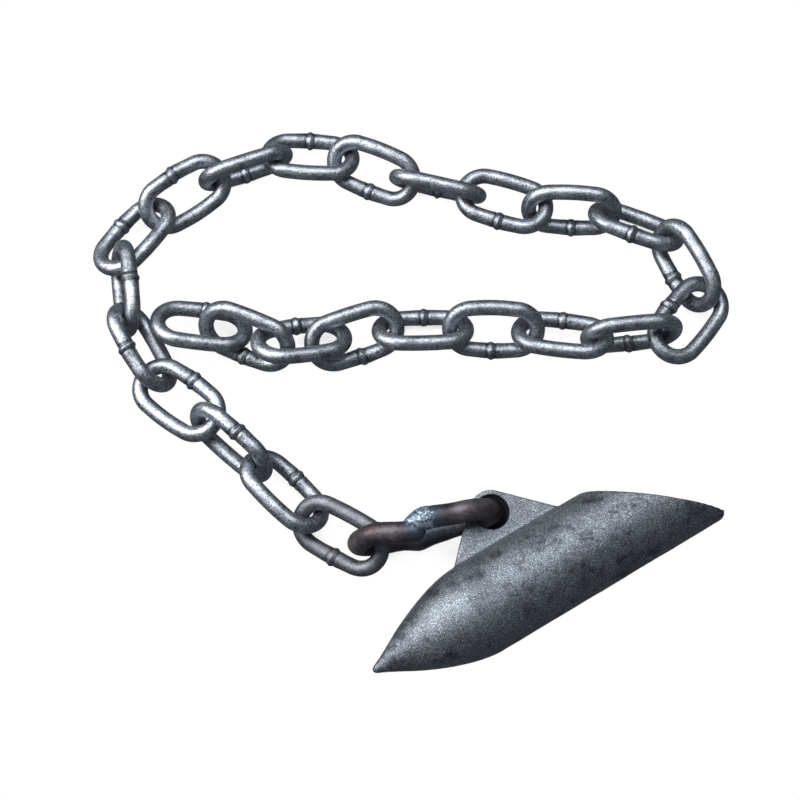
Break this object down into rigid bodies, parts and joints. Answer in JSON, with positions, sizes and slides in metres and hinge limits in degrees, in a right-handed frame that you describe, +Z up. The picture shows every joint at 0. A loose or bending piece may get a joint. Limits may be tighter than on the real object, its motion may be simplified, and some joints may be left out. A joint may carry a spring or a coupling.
{
  "type": "ground anchor with chain",
  "caption": "Driven ground anchor: a pointed cast cylinder with a slanted tail and a pierced side lug, a joining link and a length of welded chain lying loose.",
  "frame": {"origin": "on the ground, under the middle of the whole laid assembly's box", "axes": "+Z up; +X to the right along the long side of the laid chain; +Y away from the anchor body towards the outer run of chain"},
  "size_m": [0.283, 0.2514, 0.0389],
  "materials": {
    "cast_body": "rough cast",
    "tinted_link": "heat tinted",
    "chain_steel": "semi-polished"
  },
  "bodies": {
    "anchor_body": {"anchor_body": "cast_body"},
    "joining_link": {"joining_link": "tinted_link"},
    "chain_link_01": {"chain_link_01": "chain_steel"},
    "chain_link_02": {"chain_link_02": "chain_steel"},
    "chain_link_03": {"chain_link_03": "chain_steel"},
    "chain_link_04": {"chain_link_04": "chain_steel"},
    "chain_link_05": {"chain_link_05": "chain_steel"},
    "chain_link_06": {"chain_link_06": "chain_steel"},
    "chain_link_07": {"chain_link_07": "chain_steel"},
    "chain_link_08": {"chain_link_08": "chain_steel"},
    "chain_link_09": {"chain_link_09": "chain_steel"},
    "chain_link_10": {"chain_link_10": "chain_steel"},
    "chain_link_11": {"chain_link_11": "chain_steel"},
    "chain_link_12": {"chain_link_12": "chain_steel"},
    "chain_link_13": {"chain_link_13": "chain_steel"},
    "chain_link_14": {"chain_link_14": "chain_steel"},
    "chain_link_15": {"chain_link_15": "chain_steel"},
    "chain_link_16": {"chain_link_16": "chain_steel"},
    "chain_link_17": {"chain_link_17": "chain_steel"},
    "chain_link_18": {"chain_link_18": "chain_steel"},
    "chain_link_19": {"chain_link_19": "chain_steel"},
    "chain_link_20": {"chain_link_20": "chain_steel"},
    "chain_link_21": {"chain_link_21": "chain_steel"},
    "chain_link_22": {"chain_link_22": "chain_steel"},
    "chain_link_23": {"chain_link_23": "chain_steel"},
    "chain_link_24": {"chain_link_24": "chain_steel"},
    "chain_link_25": {"chain_link_25": "chain_steel"}
  },
  "joints": [
    {"name": "lug_to_joining_link", "type": "hinge", "parent": "anchor_body", "child": "joining_link", "pos_m": [0.03339, -0.05944, 0.02213], "axis": [0.0446, -0.0749, 0.9962], "range_deg": [-40, 26]},
    {"name": "joining_link_to_chain_link_01", "type": "hinge", "parent": "joining_link", "child": "chain_link_01", "pos_m": [-0.02149, -0.07041, 0.01452], "axis": [0.1587, 0.0872, -0.9835], "range_deg": [-14, 28]},
    {"name": "chain_link_01_to_02", "type": "hinge", "parent": "chain_link_01", "child": "chain_link_02", "pos_m": [-0.03948, -0.05995, 0.00975], "axis": [0.5331, 0.624, -0.5714], "range_deg": [-35, 18]},
    {"name": "chain_link_02_to_03", "type": "hinge", "parent": "chain_link_02", "child": "chain_link_03", "pos_m": [-0.06707, -0.0333, 0.0131], "axis": [-0.5331, -0.624, 0.5714], "range_deg": [-40, 40]},
    {"name": "chain_link_03_to_04", "type": "hinge", "parent": "chain_link_03", "child": "chain_link_04", "pos_m": [-0.09078, -0.01301, 0.01493], "axis": [0.2509, 0.2132, 0.9442], "range_deg": [-9, 24]},
    {"name": "chain_link_04_to_05", "type": "hinge", "parent": "chain_link_04", "child": "chain_link_05", "pos_m": [-0.11464, 0.00495, 0.01375], "axis": [-0.5921, -0.7938, -0.1391], "range_deg": [-40, 5]},
    {"name": "chain_link_05_to_06", "type": "hinge", "parent": "chain_link_05", "child": "chain_link_06", "pos_m": [-0.12226, 0.02637, 0.01526], "axis": [-0.3514, -0.0721, -0.9334], "range_deg": [-5, 8]},
    {"name": "chain_link_06_to_07", "type": "hinge", "parent": "chain_link_06", "child": "chain_link_07", "pos_m": [-0.13457, 0.05682, 0.01243], "axis": [0.7616, -0.5291, 0.3741], "range_deg": [-15, 0]},
    {"name": "chain_link_07_to_08", "type": "hinge", "parent": "chain_link_07", "child": "chain_link_08", "pos_m": [-0.1173, 0.08197, 0.01108], "axis": [-0.4781, 0.5894, 0.6512], "range_deg": [0, 10]},
    {"name": "chain_link_08_to_09", "type": "hinge", "parent": "chain_link_08", "child": "chain_link_09", "pos_m": [-0.09208, 0.09818, 0.01527], "axis": [0.135, -0.1513, 0.9792], "range_deg": [0, 8]},
    {"name": "chain_link_09_to_10", "type": "hinge", "parent": "chain_link_09", "child": "chain_link_10", "pos_m": [-0.05647, 0.11257, 0.01258], "axis": [0.135, -0.1513, 0.9792], "range_deg": [0, 7]},
    {"name": "chain_link_10_to_11", "type": "hinge", "parent": "chain_link_10", "child": "chain_link_11", "pos_m": [-0.03399, 0.1129, 0.01176], "axis": [-0.2922, -0.6574, -0.6946], "range_deg": [-18, 0]},
    {"name": "chain_link_11_to_12", "type": "hinge", "parent": "chain_link_11", "child": "chain_link_12", "pos_m": [0.00144, 0.09785, 0.01109], "axis": [0.2922, 0.6574, 0.6946], "range_deg": [0, 40]},
    {"name": "chain_link_12_to_13", "type": "hinge", "parent": "chain_link_12", "child": "chain_link_13", "pos_m": [0.02442, 0.09532, 0.01209], "axis": [-0.3087, -0.951, -0.0174], "range_deg": [-35, 0]},
    {"name": "chain_link_13_to_14", "type": "hinge", "parent": "chain_link_13", "child": "chain_link_14", "pos_m": [0.06103, 0.08343, 0.01276], "axis": [-0.3087, -0.951, -0.0174], "range_deg": [-40, 0]},
    {"name": "chain_link_14_to_15", "type": "hinge", "parent": "chain_link_14", "child": "chain_link_15", "pos_m": [0.08388, 0.08459, 0.01143], "axis": [-0.287, -0.7103, 0.6428], "range_deg": [-40, 0]},
    {"name": "chain_link_15_to_16", "type": "hinge", "parent": "chain_link_15", "child": "chain_link_16", "pos_m": [0.11958, 0.07016, 0.01143], "axis": [-0.287, -0.7103, 0.6428], "range_deg": [-40, 0]},
    {"name": "chain_link_16_to_17", "type": "hinge", "parent": "chain_link_16", "child": "chain_link_17", "pos_m": [0.13457, 0.04754, 0.00925], "axis": [-0.7694, 0.6096, 0.1907], "range_deg": [0, 40]},
    {"name": "chain_link_17_to_18", "type": "hinge", "parent": "chain_link_17", "child": "chain_link_18", "pos_m": [0.11088, 0.01722, 0.0106], "axis": [-0.7694, 0.6096, 0.1907], "range_deg": [0, 15]},
    {"name": "chain_link_18_to_19", "type": "hinge", "parent": "chain_link_18", "child": "chain_link_19", "pos_m": [0.08554, 0.02106, 0.01427], "axis": [-0.2101, -0.8511, 0.4812], "range_deg": [-30, 0]},
    {"name": "chain_link_19_to_20", "type": "hinge", "parent": "chain_link_19", "child": "chain_link_20", "pos_m": [0.04791, 0.02769, 0.00958], "axis": [0.2101, 0.8511, -0.4812], "range_deg": [0, 40]},
    {"name": "chain_link_20_to_21", "type": "hinge", "parent": "chain_link_20", "child": "chain_link_21", "pos_m": [0.01749, 0.02805, 0.01109], "axis": [-0.0111, -0.682, -0.7312], "range_deg": [-40, 0]},
    {"name": "chain_link_21_to_22", "type": "hinge", "parent": "chain_link_21", "child": "chain_link_22", "pos_m": [-0.01351, 0.0267, 0.01076], "axis": [0.0386, -0.8183, 0.5735], "range_deg": [-40, 0]},
    {"name": "chain_link_22_to_23", "type": "hinge", "parent": "chain_link_22", "child": "chain_link_23", "pos_m": [-0.04258, 0.01878, 0.00891], "axis": [-0.2882, 0.7129, 0.6393], "range_deg": [-1, 40]},
    {"name": "chain_link_23_to_24", "type": "hinge", "parent": "chain_link_23", "child": "chain_link_24", "pos_m": [-0.05344, 0.01617, 0.01225], "axis": [0.2609, 0.5733, 0.7767], "range_deg": [-9, 40]},
    {"name": "chain_link_24_to_25", "type": "hinge", "parent": "chain_link_24", "child": "chain_link_25", "pos_m": [-0.07234, 0.02738, 0.00908], "axis": [-0.0227, 0.916, -0.4006], "range_deg": [0, 40]}
  ]
}
